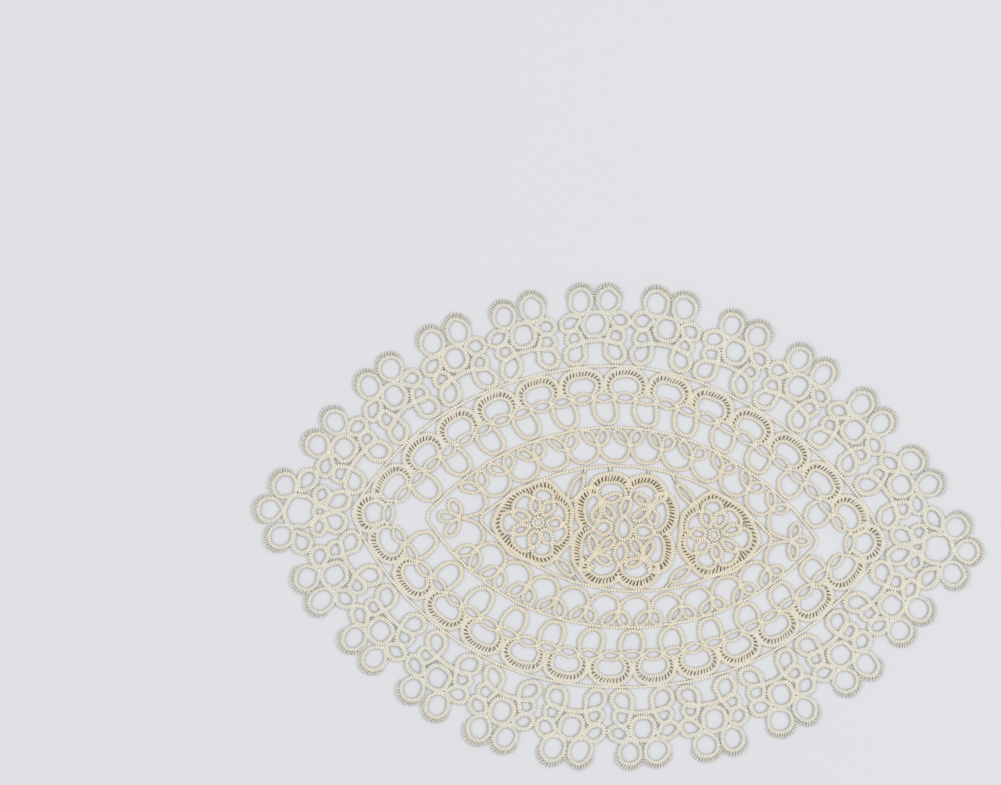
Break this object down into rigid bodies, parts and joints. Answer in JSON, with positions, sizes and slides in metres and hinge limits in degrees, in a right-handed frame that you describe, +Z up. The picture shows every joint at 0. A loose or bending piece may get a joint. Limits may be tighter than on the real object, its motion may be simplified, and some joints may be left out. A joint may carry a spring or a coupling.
{
  "type": "lace doily",
  "caption": "Pointed-oval tatted lace doily that lies flat as a small table mat, with medallions in the middle, scallop rounds and a border of picot rings.",
  "frame": {"origin": "middle of the underside, where the doily rests on a table", "axes": "+X along the doily's long axis, +Y across it, +Z up out of its face"},
  "size_m": [0.3078, 0.2038, 0.0012],
  "materials": {
    "cotton_thread": "matt undyed cream cotton thread, hard twisted, worked in close knots"
  },
  "bodies": {
    "root": {"lace_doily": "cotton_thread"}
  },
  "joints": []
}
